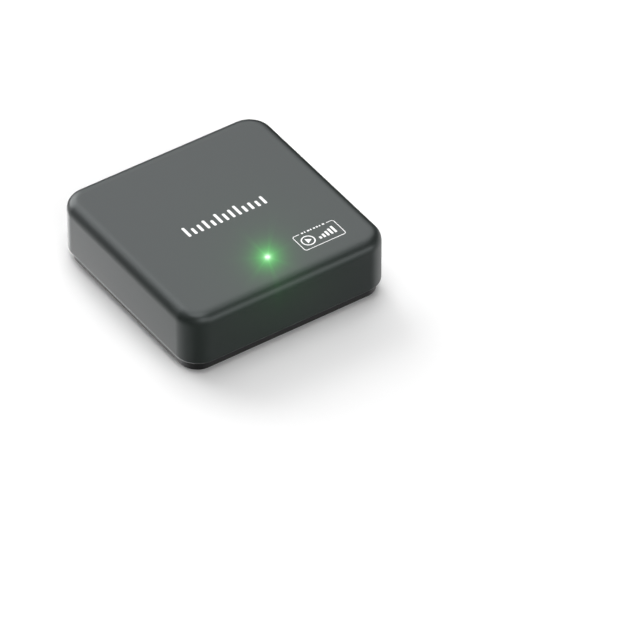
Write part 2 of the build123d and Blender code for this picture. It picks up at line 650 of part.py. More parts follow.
# ---- the nodes ---------------------------------------------------------------------------------
NODES = {
    "top_cover": top_cover(),
    "base_cover": base_cover(),
    "rating_label": rating_label(),
    "case_screws": case_screws(),
    "main_board": main_board(),
    "board_screws": board_screws(),
    "processor": chip(SINK_X, SINK_Y, CHIP_SIDE, CHIP_SIDE, CHIP_HEIGHT),
    "memory_chip_front": chip(SINK_X, SINK_Y - 13.0, 12.0, 8.0, 1.0),
    "memory_chip_rear": chip(SINK_X, SINK_Y + 13.0, 12.0, 8.0, 1.0),
    "flash_chip": chip(-24.0, 17.0, 11.5, 13.0, 1.0),
    "power_chip": chip(24.5, 4.0, 5.0, 5.0, 0.9),
    "power_inductors": power_inductors(),
    "filter_capacitors": filter_capacitors(),
    "chip_capacitors": chip_capacitors(),
    "crystal_can": crystal_can(),
    "infrared_receiver": infrared_receiver(),
    "network_transformer": chip(NETWORK_X, 25.6, 13.0, 7.0, 4.0),
    "thermal_pad": centred(SINK_X, SINK_Y, BOARD_TOP + CHIP_HEIGHT, CHIP_SIDE, CHIP_SIDE, PAD_HEIGHT),
    "heat_sink": heat_sink(),
    "heat_sink_pins": heat_sink_pins(),
    "heat_sink_springs": heat_sink_springs(),
    "radio_module": radio_module(),
    "radio_shield": radio_shield(),
    "aerial_left": aerial(-1),
    "aerial_right": aerial(1),
    "aerial_lead_left": aerial_lead_left(),
    "aerial_lead_right": aerial_lead_right(),
    "video_shell": video_shell(),
    "video_tongue": video_tongue(),
    "video_contacts": video_contacts(),
    "network_shell": network_shell(),
    "network_housing": network_housing(),
    "network_contacts": network_contacts(),
    "usb_shell": usb_shell(),
    "usb_tongue": usb_tongue(),
    "usb_contacts": usb_contacts(),
    "power_housing": power_housing(),
    "power_pin": power_pin(),
    "power_contact": power_contact(),
    "reset_button": reset_button(),
    "reset_plunger": reset_plunger(),
    "reset_switch": reset_switch(),
    "status_led": status_led(),
    "light_guide": light_guide(),
}
for number, (foot_x, foot_y) in enumerate(FOOT_PLACES, 1):
    NODES[f"rubber_foot_{number}"] = rubber_foot(foot_x, foot_y)

os.makedirs("parts", exist_ok=True)
for name, shape in NODES.items():
    group = Compound(shape) if isinstance(shape, list) else shape
    export_step(group, f"parts/{name}.step")
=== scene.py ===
# %% [markdown]
# # A streaming media player, finished around its packed frame
# The real thing is a low square box that sits by a television: a dark grey moulded cover with soft
# edges, a small green light on top, and a row of sockets at the back. The frame brings every solid
# piece at its real size, in metres, and this lesson gives them their finishes, adds the thin printed
# and moulded detail that solids leave out, and sets up the studio around them.

# %% Load the frame
import math

import bmesh
import bpy
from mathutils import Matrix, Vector


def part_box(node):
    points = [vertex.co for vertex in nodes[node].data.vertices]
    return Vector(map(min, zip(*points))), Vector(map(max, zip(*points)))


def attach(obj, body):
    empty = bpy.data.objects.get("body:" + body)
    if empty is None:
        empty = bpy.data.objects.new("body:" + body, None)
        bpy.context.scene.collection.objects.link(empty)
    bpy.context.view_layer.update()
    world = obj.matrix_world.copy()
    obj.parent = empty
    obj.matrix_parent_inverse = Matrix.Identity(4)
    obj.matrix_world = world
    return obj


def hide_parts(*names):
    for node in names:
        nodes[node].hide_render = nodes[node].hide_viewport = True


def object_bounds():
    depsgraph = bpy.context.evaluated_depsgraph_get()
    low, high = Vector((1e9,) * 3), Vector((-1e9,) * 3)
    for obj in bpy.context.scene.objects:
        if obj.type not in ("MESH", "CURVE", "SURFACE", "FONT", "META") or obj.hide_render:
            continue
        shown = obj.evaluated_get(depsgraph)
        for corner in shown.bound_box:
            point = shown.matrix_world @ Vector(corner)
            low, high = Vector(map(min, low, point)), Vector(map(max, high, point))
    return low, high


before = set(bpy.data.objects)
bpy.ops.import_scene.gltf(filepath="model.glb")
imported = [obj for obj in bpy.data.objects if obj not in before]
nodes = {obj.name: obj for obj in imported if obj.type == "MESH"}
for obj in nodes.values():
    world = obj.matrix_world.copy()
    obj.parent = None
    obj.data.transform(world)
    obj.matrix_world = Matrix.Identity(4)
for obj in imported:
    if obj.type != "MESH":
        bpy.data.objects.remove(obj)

MM = 0.001
cad_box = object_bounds()
print("frame:", len(nodes), "nodes, box", [[round(v / MM, 2) for v in corner] for corner in cad_box])

# %% [markdown]
# ## Writing shaders as sums
# A finish is a small sum over the surface: noise here, a mask there, a colour between two others.
# Nodes drawn by hand say the same thing, but a sum is shorter to read, so a `Wire` wraps one socket and
# each operator on it adds the Math node that works it out.

# %% Wire and Graph
class Wire:
    """A value on its way through a node tree."""

    def __init__(self, graph, socket):
        self.graph = graph
        self.socket = socket

    def math(self, operation, *values):
        return self.graph.math(operation, *values)

    def __add__(self, other):
        return self.math("ADD", self, other)

    def __sub__(self, other):
        return self.math("SUBTRACT", self, other)

    def __rsub__(self, other):
        return self.math("SUBTRACT", other, self)

    def __mul__(self, other):
        return self.math("MULTIPLY", self, other)

    def __truediv__(self, other):
        return self.math("DIVIDE", self, other)

    def __pow__(self, other):
        return self.math("POWER", self, other)

    def __abs__(self):
        return self.math("ABSOLUTE", self)

    __radd__ = __add__
    __rmul__ = __mul__


class Graph:
    """A node tree that is added to one node at a time."""

    def __init__(self, owner):
        owner.use_nodes = True
        self.tree = owner.node_tree
        self.tree.nodes.clear()

    def add(self, kind, settings=None, sockets=None, out=0):
        """Adds a node: its settings first, then the value or link of each socket, by name or number."""
        node = self.tree.nodes.new("ShaderNode" + kind)
        for name, value in (settings or {}).items():
            setattr(node, name, value)
        for key, value in (sockets or {}).items():
            if isinstance(value, Wire):
                self.tree.links.new(value.socket, node.inputs[key])
            else:
                node.inputs[key].default_value = value
        return Wire(self, node.outputs[out]) if node.outputs else None

    def math(self, operation, *values):
        return self.add("Math", {"operation": operation}, dict(enumerate(values)))

    def vector(self, operation, *values, out=0):
        return self.add("VectorMath", {"operation": operation}, dict(enumerate(values)), out)

    def axis(self, vector, letter):
        return self.add("SeparateXYZ", None, {0: vector}, "XYZ".index(letter))

    def step(self, value, low, high):
        """0 up to low, 1 from high on, and a smooth rise between them; low may be the larger."""
        sockets = {"Value": value, "From Min": low, "From Max": high}
        return self.add("MapRange", {"interpolation_type": "SMOOTHSTEP"}, sockets)

    def tint(self, colour, strength):
        """A colour times a strength that varies over the surface."""
        return self.add("VectorMath", {"operation": "SCALE"}, {0: colour, "Scale": strength})

    def blend(self, mask, colour_off, colour_on):
        sockets = {0: mask, 6: colour_off, 7: colour_on}
        return self.add("Mix", {"data_type": "RGBA"}, sockets, 2)


print("a wire knows", len([name for name in vars(Wire) if name.startswith("__")]), "special methods")

# %% [markdown]
# ## The studio
# A plain pale floor and a wide, far camera: the box is seen from above its left front corner with a
# long lens, so its edges stay nearly parallel. The lights are painted on the sky around the scene
# instead of being lamps, because soft light from far away falls evenly on the whole floor. Each
# light is a round patch with a soft edge, named by the part of the scene that it is there for.
#
# Product studios often light an object and its floor apart. The floor here is seen and takes the
# object's shadow, but it does not show in reflections and hides nothing from the lights below the
# horizon, so the walls are also lit from below, like a box on a glass table. The camera sees plain
# white where there is no floor.

# %% Camera
SIDE = cad_box[1][0] - cad_box[0][0]
CAMERA_TURN = math.radians(-34.35)
CAMERA_RISE = math.radians(41.0)
CAMERA_DISTANCE = 30.0 * SIDE
CAMERA_LENS = 410.0
aim = Vector((0.126 * SIDE, -0.521 * SIDE, 3.7 * MM))


def toward(turn, rise):
    """The direction at an angle round from the front, and an angle up, in radians."""
    return Vector((math.sin(turn) * math.cos(rise), -math.cos(turn) * math.cos(rise), math.sin(rise)))


camera_data = bpy.data.cameras.new("camera")
camera_data.lens = CAMERA_LENS
camera_data.clip_end = 200.0
camera = bpy.data.objects.new("camera", camera_data)
bpy.context.scene.collection.objects.link(camera)
back = toward(CAMERA_TURN, CAMERA_RISE)
camera.location = aim + CAMERA_DISTANCE * back
camera.rotation_euler = back.to_track_quat("Z", "Y").to_euler()
bpy.context.scene.camera = camera
print("camera at", [round(v, 3) for v in camera.location])

# %% Sky with its soft lights
LIGHTS = [
    # what it lights, degrees round from the front, degrees up, half width, soft edge, strength
    ("the floor, from overhead", 0, 90, 10, 20, 3.4),
    ("the back edges, from low behind", -175, 25, 15, 15, 4.8),
    ("the top, by reflection", 145, 45, 10, 20, 2.2),
    ("the floor, from the front", -5, 30, 15, 15, 2.2),
    ("the right corner, from the horizon", 30, 5, 8, 15, 2.2),
    ("the left corner, from the horizon", -155, 5, 8, 15, 1.7),
    ("the left wall, by reflection", -145, -42, 20, 20, 1.1),
    ("the right wall, by reflection", 35, -42, 20, 20, 0.18),
    ("the left corner, from below", -85, -40, 10, 20, 0.5),
    ("the right corner, from below", 90, -25, 20, 20, 1.0),
    ("the left lower edge, from below", 170, -55, 12, 18, 3.2),
]

world = bpy.data.worlds.new("studio")
bpy.context.scene.world = world
sky = Graph(world)
direction = sky.add("TexCoord", None, None, "Generated")
light = 0.0
for _, turn, rise, half_width, edge, strength in LIGHTS:
    centre = toward(math.radians(turn), math.radians(rise))
    nearness = sky.vector("DOT_PRODUCT", direction, tuple(centre), out=1)
    outer = math.cos(math.radians(half_width + edge))
    inner = math.cos(math.radians(half_width))
    light = light + sky.step(nearness, outer, inner) * strength
seen = sky.add("LightPath", None, None, "Is Camera Ray")
shown = light * (1 - seen) + 1.05 * seen
background = sky.add("Background", None, {"Strength": shown, "Color": (1.0, 1.0, 1.0, 1.0)})
sky.add("OutputWorld", None, {"Surface": background})
bpy.context.scene.view_settings.view_transform = "Standard"
print("sky with", len(LIGHTS), "lights")

# %% Floor
FLOOR_HALF = 60.0


def mesh_object(name, points, faces, smooth=False):
    """An object from points and faces given in metres, in the frame."""
    mesh = bpy.data.meshes.new(name)
    mesh.from_pydata([tuple(p) for p in points], [], faces)
    mesh.update()
    for polygon in mesh.polygons:
        polygon.use_smooth = smooth
    made = bpy.data.objects.new(name, mesh)
    bpy.context.scene.collection.objects.link(made)
    return made


corners = [(-1, -1), (1, -1), (1, 1), (-1, 1)]
floor = mesh_object("floor", [(x * FLOOR_HALF, y * FLOOR_HALF, 0.0) for x, y in corners], [(0, 1, 2, 3)])
floor_material = bpy.data.materials.new("floor_paint")
floor_graph = Graph(floor_material)
paint = floor_graph.add("BsdfDiffuse", None, {"Color": (0.9, 0.9, 0.9, 1.0)})
floor_graph.add("OutputMaterial", None, {"Surface": paint})
floor.data.materials.append(floor_material)
floor.visible_glossy = False
floor.visible_shadow = False

# %% [markdown]
# ## Writing finishes
# Everything here is moulded, plated, printed or etched, so three short recipes cover most of it. Each
# starts from one Principled shader and lets noise, at the size of the real grain, move its colour,
# its roughness and a bump that is only a few thousandths of a millimetre deep.

# %% Finish
class Finish(Graph):
    """A Principled shader, with the place on the surface in millimetres ready as a wire."""

    def __init__(self, name, **constants):
        self.material = bpy.data.materials.new(name)
        super().__init__(self.material)
        self.shader = self.tree.nodes.new("ShaderNodeBsdfPrincipled")
        self.add("OutputMaterial", None, {"Surface": Wire(self, self.shader.outputs[0])})
        place = self.add("TexCoord", None, None, "Object")
        self.place = self.vector("MULTIPLY", place, (1 / MM, 1 / MM, 1 / MM))
        for key, value in constants.items():
            self.shader.inputs[key.replace("_", " ")].default_value = value

    def drive(self, socket, wire):
        self.tree.links.new(wire.socket, self.shader.inputs[socket])

    def noise(self, size, detail=2.0, stretch=(1, 1, 1)):
        """Soft noise whose lumps are about size millimetres across, from 0 to 1."""
        scaled = self.vector("MULTIPLY", self.place, tuple(s / size for s in stretch))
        return self.add("TexNoise", None, {"Vector": scaled, "Scale": 1.0, "Detail": detail})

    def cells(self, size, stretch=(1, 1, 1)):
        """Distance to the nearest of many scattered points that lie about size millimetres apart."""
        scaled = self.vector("MULTIPLY", self.place, tuple(s / size for s in stretch))
        return self.add("TexVoronoi", None, {"Vector": scaled, "Scale": 1.0})

    def facing(self, letter):
        """1 where the surface faces along an axis, either way, and 0 where it lies along it."""
        return abs(self.axis(self.add("NewGeometry", None, None, "Normal"), letter))

    def bump(self, height, depth):
        """Raises the surface by height times depth millimetres, in shading only."""
        sockets = {"Height": height, "Distance": depth * MM, "Strength": 1.0}
        self.drive("Normal", self.add("Bump", None, sockets))


def shade(colour, factor):
    return tuple(min(c * factor, 1.0) for c in colour) + (1.0,)


def moulded(name, colour, rough, grain=0.22, depth=0.006, drift=9.0, **constants):
    """Plastic or rubber from a tool with a fine spark-eroded face."""
    finish = Finish(name, **constants)
    fine = finish.noise(grain, 3.0)
    broad = finish.noise(drift, 2.0)
    finish.drive("Base Color", finish.blend(broad, shade(colour, 0.86), shade(colour, 1.14)))
    finish.drive("Roughness", (rough - 0.04) + 0.06 * broad + 0.04 * fine)
    finish.bump(fine, depth)
    return finish


def plated(name, colour, rough, stretch=(1, 1, 1), grain=0.12, depth=0.002):
    """Bright metal: fine drawn or rolled lines, and faint dull patches where it was handled."""
    finish = Finish(name, Metallic=1.0)
    lines = finish.noise(grain, 3.0, stretch)
    dull = finish.noise(3.5, 3.0)
    finish.drive("Base Color", finish.blend(dull, shade(colour, 0.88), shade(colour, 1.05)))
    finish.drive("Roughness", (rough - 0.05) + 0.14 * dull + 0.08 * lines)
    finish.bump(lines, depth)
    return finish


def dress(finish, *names):
    """Gives CAD nodes a finish."""
    for name in names:
        nodes[name].material_slots[0].material = finish.material


def dress_piece(piece, finish, body="player"):
    """Gives a new piece its finish and its body."""
    piece.data.materials.append(finish.material)
    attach(piece, body)
    return piece


print("three recipes: Finish, moulded, plated")

# %% [markdown]
# ## The cover
# The cover is one moulding: a thin shell with soft top edges, open below and at the back. A plain
# fillet has a hard start where the flat ends, and light shows that as a line. The real edge eases in,
# so its section here is a superellipse, which leaves the flat with hardly any curvature. The shell is a
# skin over rings: out over the top, down the wall, round the lower edge and back up the inside.

# %% Sizes the cover takes from the frame
cover_low_corner, cover_high_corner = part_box("top_cover")
guide_low, guide_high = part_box("light_guide")
INK = 0.02
CLEARANCE = 0.005
TOP = cover_high_corner.z / MM - INK - CLEARANCE
COVER_LOW = cover_low_corner.z / MM
SLACK = 0.001
HALF = SIDE / MM / 2 - SLACK
LIGHT = ((guide_low.x + guide_high.x) / 2 / MM, (guide_low.y + guide_high.y) / 2 / MM)
WALL = 2.0
TOP_THICKNESS = 2.2
CEILING = cover_high_corner.z / MM - TOP_THICKNESS
EDGE_REACH = 5.4
EDGE_POWER = 2.5
PLAN_RADIUS = 10.4
LOW_RADIUS = 1.0
CORNER_STEPS = 14
EDGE_STEPS = 16
GUIDE_HOLE = 1.05
print("cover from", round(COVER_LOW, 2), "to", round(TOP, 3), "mm, light at", [round(v, 2) for v in LIGHT])


# %% Rings and skins
def outline(inset, height):
    """A rounded square set in from the cover's sides, anticlockwise from above, in millimetres."""
    bend = max(PLAN_RADIUS - inset, 0.5)
    reach = HALF - inset - bend
    points = []
    for quarter, (sx, sy) in enumerate([(1, 1), (-1, 1), (-1, -1), (1, -1)]):
        for n in range(CORNER_STEPS + 1):
            angle = (quarter + n / CORNER_STEPS) * math.pi / 2
            points.append((sx * reach + bend * math.cos(angle), sy * reach + bend * math.sin(angle), height))
    return points


def hole_like(ring, height):
    """Points round the light guide's hole, each in the direction of its point on the ring."""
    points = []
    for x, y, _ in ring:
        angle = math.atan2(y - LIGHT[1], x - LIGHT[0])
        across, along = GUIDE_HOLE * math.cos(angle), GUIDE_HOLE * math.sin(angle)
        points.append((LIGHT[0] + across, LIGHT[1] + along, height))
    return points


def eased(reach, low, top, wall):
    """Insets and heights up a superelliptic edge, from the wall to the flat."""
    steps = []
    for n in range(EDGE_STEPS + 1):
        angle = n / EDGE_STEPS * math.pi / 2
        inset = reach * (1 - math.cos(angle) ** (2 / EDGE_POWER))
        height = reach * math.sin(angle) ** (2 / EDGE_POWER)
        steps.append((wall + inset, top - reach + height))
    return [(wall, low)] + steps + [(wall + reach + 0.3, top)]


def skin(rings, closed=False):
    """Points and four-sided faces over rings with the same number of points."""
    count = len(rings[0])
    points = [p for ring in rings for p in ring]
    faces = []
    for row in range(len(rings) if closed else len(rings) - 1):
        here, there = row * count, (row + 1) % len(rings) * count
        for n in range(count):
            m = (n + 1) % count
            faces.append((here + n, here + m, there + m, there + n))
    return points, faces


def join(parts):
    """Several (points, faces) as one."""
    points, faces = [], []
    for some_points, some_faces in parts:
        start = len(points)
        points += some_points
        faces += [tuple(start + v for v in face) for face in some_faces]
    return points, faces


def slab(low, high):
    """A box between two corners, as (points, faces)."""
    points = [(x, y, z) for z in (low[2], high[2]) for x, y in
              ((low[0], low[1]), (high[0], low[1]), (high[0], high[1]), (low[0], high[1]))]
    faces = [(3, 2, 1, 0), (4, 5, 6, 7)] + [(n, (n + 1) % 4, 4 + (n + 1) % 4, 4 + n) for n in range(4)]
    return points, faces


def turned(x, y, section, steps=40, closed=True):
    """A section of (radius, height) points turned about an upright line."""
    rings = []
    for radius, height in section:
        angles = [n / steps * 2 * math.pi for n in range(steps)]
        rings.append([(x + radius * math.cos(a), y + radius * math.sin(a), height) for a in angles])
    return skin(rings, closed)


def made_of(name, points, faces, sharp=32.0):
    """A smooth-shaded object whose creases sharper than an angle stay crisp; points in millimetres."""
    made = mesh_object(name, [Vector(p) * MM for p in points], faces, smooth=True)
    shape = bmesh.new()
    shape.from_mesh(made.data)
    bmesh.ops.recalc_face_normals(shape, faces=shape.faces[:])
    shape.to_mesh(made.data)
    shape.free()
    made.data.set_sharp_from_angle(angle=math.radians(sharp))
    return made


print("one level of the cover has", len(outline(0, 0)), "points")

# %% Cover shell
BOSS_RADIUS, BOSS_LOW = 3, 8
PILOT_RADIUS, PILOT_TOP = 1.3, 19
COLLAR_RADIUS, COLLAR_BORE, COLLAR_LENGTH = 3.2, 2.05, 3.5
RIB_PLACES, RIB_REACH, RIB_HALF, RIB_DEPTH = (-22, 22), 44.5, 0.5, 1.6
WINDOW_HALF, WINDOW_INNER, WINDOW_OUTER = 36.2, 42.5, 50
SUNK = CEILING + 0.5
outer = eased(EDGE_REACH, COVER_LOW + LOW_RADIUS + 0.3, TOP, 0.0)
inner = eased(EDGE_REACH - WALL, COVER_LOW + 0.4, CEILING, WALL)
lower = [(LOW_RADIUS * (1 - math.cos(a)), COVER_LOW + LOW_RADIUS * (1 - math.sin(a)))
         for a in [n / 6 * math.pi / 2 for n in range(7)]]
levels = list(reversed(outer)) + lower + [(WALL - 0.2, COVER_LOW), (WALL, COVER_LOW + 0.2)] + inner
rings = [outline(inset, height) for inset, height in levels]
rings = [hole_like(rings[0], TOP)] + rings + [hole_like(rings[-1], CEILING)]
shell = skin(rings, closed=True)

screw_places = []
for n in range(1, 5):
    foot_low, foot_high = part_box(f"rubber_foot_{n}")
    screw_places.append(((foot_low.x + foot_high.x) / 2 / MM, (foot_low.y + foot_high.y) / 2 / MM))
boss_section = [(BOSS_RADIUS, BOSS_LOW), (PILOT_RADIUS, BOSS_LOW), (PILOT_RADIUS, PILOT_TOP),
                (0.1, PILOT_TOP + 0.4), (0.1, CEILING + 1), (BOSS_RADIUS, CEILING + 1)]
bosses = [turned(x, y, boss_section) for x, y in screw_places]
collar_low = CEILING - COLLAR_LENGTH
collar = turned(*LIGHT, [(COLLAR_RADIUS, collar_low), (COLLAR_BORE, collar_low), (COLLAR_BORE, SUNK),
                         (COLLAR_RADIUS, SUNK)])
rib_low = CEILING - RIB_DEPTH
ribs = [slab((p - RIB_HALF, -RIB_REACH, rib_low), (p + RIB_HALF, RIB_REACH, SUNK)) for p in RIB_PLACES]
ribs += [slab((-RIB_REACH, p - RIB_HALF, rib_low), (RIB_REACH, p + RIB_HALF, SUNK)) for p in RIB_PLACES]

closed_shell = made_of("shell_before_window", *shell)
window_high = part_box("base_cover")[1].z / MM + 0.2
window_low_corner = (-WINDOW_HALF, WINDOW_INNER, COVER_LOW - 2)
opening = made_of("window_cutter", *slab(window_low_corner, (WINDOW_HALF, WINDOW_OUTER, window_high)))
cut = closed_shell.modifiers.new("window", "BOOLEAN")
cut.operation = "DIFFERENCE"
cut.solver = "EXACT"
cut.object = opening
bpy.context.view_layer.update()
cut_shape = closed_shell.evaluated_get(bpy.context.evaluated_depsgraph_get()).to_mesh()
cut_points = [tuple(v.co / MM) for v in cut_shape.vertices]
cut_faces = [tuple(p.vertices) for p in cut_shape.polygons]
closed_shell.evaluated_get(bpy.context.evaluated_depsgraph_get()).to_mesh_clear()
for scrap in (closed_shell, opening):
    bpy.data.objects.remove(scrap)
cover = made_of("soft_edged_cover", *join([(cut_points, cut_faces), *bosses, collar, *ribs]))
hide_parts("top_cover")
print("cover:", len(cover.data.polygons), "faces")

# %% [markdown]
# ## The cover's plastic and the glow painted on it
# The moulding is a dark blue-grey, and almost all of what reaches the eye is the studio reflected in
# its fine satin grain, so its own colour is low. The status light's glow round it is painted on the
# cover as an emission that fades with distance from the guide's end: a white core, a green spill and a
# wide faint haze. Seven soft painted rays cross it, and the painted glow is stretched along the
# camera's line of sight across the top, so that it looks nearly round from the camera.

# %% Cover finish and the glow painted on it
satin_with_painted_glow = Finish("cover_plastic", IOR=1.5, Specular_Tint=(0.93, 1.0, 1.01, 1), Emission_Strength=1.0)
grain = satin_with_painted_glow.noise(0.16, 3.0)
drift = satin_with_painted_glow.noise(18.0, 2.0)
satin_with_painted_glow.drive("Base Color", satin_with_painted_glow.blend(drift, (0.0190, 0.0215, 0.0220, 1), (0.0225, 0.0250, 0.0255, 1)))
satin_with_painted_glow.drive("Roughness", 0.335 + 0.04 * drift + 0.03 * grain)
satin_with_painted_glow.bump(grain, 0.005)

# From here on, the status light's glow is painted into the cover's emission: core, spill, haze and rays,
# stretched along the camera's line of sight.
GLOW_STRETCH = 1.4
GLOW_ALONG, GLOW_ACROSS = (0.56, 0.83, 0), (-0.83, 0.56, 0)
RAY_COUNT = 7.0
lamp = (LIGHT[0], LIGHT[1], TOP)
aside = satin_with_painted_glow.vector("SUBTRACT", satin_with_painted_glow.place, lamp)
along = satin_with_painted_glow.vector("DOT_PRODUCT", aside, GLOW_ALONG, out=1)
across = satin_with_painted_glow.vector("DOT_PRODUCT", aside, GLOW_ACROSS, out=1)
down = satin_with_painted_glow.axis(aside, "Z")
long_way = along / GLOW_STRETCH
away = satin_with_painted_glow.math("SQRT", long_way * long_way + across * across + down * down)
turn = satin_with_painted_glow.math("ARCTAN2", across, long_way)


def fade(finish, distance, rate):
    """Falls from 1 at the light towards 0, faster for a larger rate per millimetre."""
    return finish.math("EXPONENT", distance * -rate)


rays = satin_with_painted_glow.step(satin_with_painted_glow.math("COSINE", turn * RAY_COUNT + 0.9), 0.45, 1.0)
uneven = satin_with_painted_glow.step(satin_with_painted_glow.math("COSINE", turn * 2.0 - 0.5), -3.0, 1.4)
spill = 0.95 * fade(satin_with_painted_glow, away, 0.36)
haze = 0.024 * fade(satin_with_painted_glow, away, 0.06)
streaks = 0.13 * rays * uneven * fade(satin_with_painted_glow, away, 0.24)
painted_white_core = satin_with_painted_glow.tint((1.0, 0.5, 1.0), 1.6 * fade(satin_with_painted_glow, away, 1.5))
painted_green_glow = satin_with_painted_glow.tint((0.075, 1.0, 0.105), spill + haze + streaks)
satin_with_painted_glow.drive("Emission Color", satin_with_painted_glow.vector("ADD", painted_white_core, painted_green_glow))
dress_piece(cover, satin_with_painted_glow)

rod = Finish("guide_acrylic", Roughness=0.2, Emission_Strength=1.0)
off_centre = rod.vector("DISTANCE", rod.place, lamp, out=1) + 0.15 * rod.noise(0.6)
rod.drive("Base Color", rod.blend(rod.noise(0.4), (0.30, 0.55, 0.34, 1), (0.38, 0.62, 0.42, 1)))
rim_light, centre_light = (0.30, 0.85, 0.30, 1), (0.80, 1.0, 0.78, 1)
rod.drive("Emission Color", rod.blend(rod.step(off_centre, 1.05, 0.35), rim_light, centre_light))
dress(rod, "light_guide")
print("cover and light guide finished")

# %% [markdown]
# ## Printed marks
# The real top carries white pad printing. A print is a film of ink about a fiftieth of a millimetre
# thick, so each mark is a thin solid of its own, with rounded ends, lying on the plastic. The marks here
# are generic: a row of level bars in the middle, and near one corner a broken frame round a play sign
# and a small rising scale. At the back, a small picture over each socket says what it is for.

# %% Flat shapes for printing
def disc(x, y, radius, steps=28):
    return [(x + radius * math.cos(a), y + radius * math.sin(a))
            for a in [n / steps * 2 * math.pi for n in range(steps)]]


def pill(x_low, x_high, y_low, y_high, bend, steps=5):
    """An upright or lying bar with rounded corners, anticlockwise."""
    points = []
    corners = [(x_high - bend, y_high - bend), (x_low + bend, y_high - bend),
               (x_low + bend, y_low + bend), (x_high - bend, y_low + bend)]
    for quarter, (x, y) in enumerate(corners):
        for n in range(steps + 1):
            angle = (quarter + n / steps) * math.pi / 2
            points.append((x + bend * math.cos(angle), y + bend * math.sin(angle)))
    return points


def stroke(route, width):
    """A line of some width along a route of two or more points, with square ends."""
    left, right = [], []
    for n, (x, y) in enumerate(route):
        ahead = Vector(route[min(n + 1, len(route) - 1)]) - Vector(route[max(n - 1, 0)])
        across = Vector((-ahead.y, ahead.x)).normalized() * width / 2
        left.append((x + across.x, y + across.y))
        right.append((x - across.x, y - across.y))
    return [("band", left, right, False)]


def hoop(x, y, radius, width):
    return [("band", disc(x, y, radius + width / 2), disc(x, y, radius - width / 2), True)]


def film(shapes, place, thickness):
    """Solid film from flat shapes; place puts (across, up, proud) in the frame, in millimetres."""
    parts = []
    for shape in shapes:
        if isinstance(shape, tuple):
            _, outside, inside, whole = shape
            rows = [[(*p, 0) for p in outside], [(*p, thickness) for p in outside],
                    [(*p, thickness) for p in inside], [(*p, 0) for p in inside]]
            count = len(outside)
            points = [p for row in rows for p in row]
            faces = []
            for n in range(count if whole else count - 1):
                m = (n + 1) % count
                for k in range(4):
                    j = (k + 1) % 4
                    faces.append((k * count + n, k * count + m, j * count + m, j * count + n))
            if not whole:
                faces.append((0, count, 2 * count, 3 * count))
                faces.append(tuple(k * count + count - 1 for k in (3, 2, 1, 0)))
        else:
            count = len(shape)
            points = [(*p, 0) for p in shape] + [(*p, thickness) for p in shape]
            faces = [tuple(reversed(range(count))), tuple(range(count, 2 * count))]
            faces += [(n, (n + 1) % count, count + (n + 1) % count, count + n) for n in range(count)]
        parts.append(([place(*p) for p in points], faces))
    return join(parts)


def on_top(across, up, proud):
    return (across, up, TOP - 0.01 + proud)


print("a disc has", len(disc(0, 0, 1)), "points")

# %% Marks on top
BAR_HEIGHTS = [6.1, 3.9, 4.4, 5.4, 3.6, 6.1, 4.4, 5.2, 6.1, 4.0, 4.4, 3.7, 5.0]
BAR_PITCH = 2.98
BAR_WIDTH = 1.25
BAR_BASE = -3.6
middle_bars = []
for n, tall in enumerate(BAR_HEIGHTS):
    x = (n - (len(BAR_HEIGHTS) - 1) / 2) * BAR_PITCH
    middle_bars.append(pill(x - BAR_WIDTH / 2, x + BAR_WIDTH / 2, BAR_BASE, BAR_BASE + tall, 0.5))

FRAME_LEFT, FRAME_RIGHT, FRAME_LOW, FRAME_HIGH = 14.4, 33.6, -36.1, -26.6
LINE = 0.34
frame_mark = []
gap_left = FRAME_LEFT + 0.17 * (FRAME_RIGHT - FRAME_LEFT)
gap_right = FRAME_LEFT + 0.84 * (FRAME_RIGHT - FRAME_LEFT)
edge = pill(FRAME_LEFT, FRAME_RIGHT, FRAME_LOW, FRAME_HIGH, 1.0)
upper_right, upper_left = edge[:6], edge[6:12]
route = [(gap_left, FRAME_HIGH)] + upper_left + edge[12:] + upper_right + [(gap_right, FRAME_HIGH)]
frame_mark += stroke(route, LINE)
dash_room = gap_right - gap_left - 1.6
for n, share in enumerate([0.08, 0.05, 0.09, 0.06, 0.08, 0.07, 0.05, 0.09]):
    x = gap_left + 0.8 + dash_room * (n + 0.15) / 8
    frame_mark.append(pill(x, x + dash_room * share, FRAME_HIGH - 0.42, FRAME_HIGH + 0.42, 0.2))
RING_X, RING_Y, RING_RADIUS = 18.7, -31.5, 2.7
SCALE_LEFT, SCALE_LOW, SCALE_PITCH, STEP_WIDTH = 23.2, -33.5, 1.75, 1.05
frame_mark += hoop(RING_X, RING_Y, RING_RADIUS, 0.55)
play_left = RING_X - 0.85
frame_mark.append([(play_left, RING_Y - 1.5), (RING_X + 1.65, RING_Y), (play_left, RING_Y + 1.5)])
for n, tall in enumerate([1.5, 2.2, 2.9, 3.6, 4.3]):
    x = SCALE_LEFT + n * SCALE_PITCH
    frame_mark.append(pill(x, x + STEP_WIDTH, SCALE_LOW, SCALE_LOW + tall, 0.3))

# %% White ink
ink = moulded("white_ink", (0.86, 0.86, 0.86), 0.45, grain=0.12, depth=0.001, drift=3.0, IOR=1.45)
for name, shapes in (("middle_bars_mark", middle_bars), ("corner_frame_mark", frame_mark)):
    mark = made_of(name, *film(shapes, on_top, INK + 0.01))
    dress_piece(mark, ink)
print("top marks: bars", len(middle_bars), "frame", len(frame_mark))

# %% [markdown]
# ## Signs over the sockets
# The row over the sockets is drawn the same way, standing on the rear panel. Seen from behind, +X is to
# the left, so the pictures are drawn as they read from there and turned round as they are placed.

# %% Rear signs
panel_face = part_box("base_cover")[1].y / MM
PORTS = {}
for port, node in (("power", "power_housing"), ("video", "video_shell"), ("network", "network_shell"),
                   ("usb", "usb_shell"), ("reset", "reset_button")):
    port_low, port_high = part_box(node)
    PORTS[port] = ((port_low.x + port_high.x) / 2 / MM, port_high.z / MM)
SIGN_LOW = 21.6


def on_back(port):
    centre = PORTS[port][0]
    return lambda across, up, proud: (centre - across, panel_face - 0.01 + proud, SIGN_LOW + up)


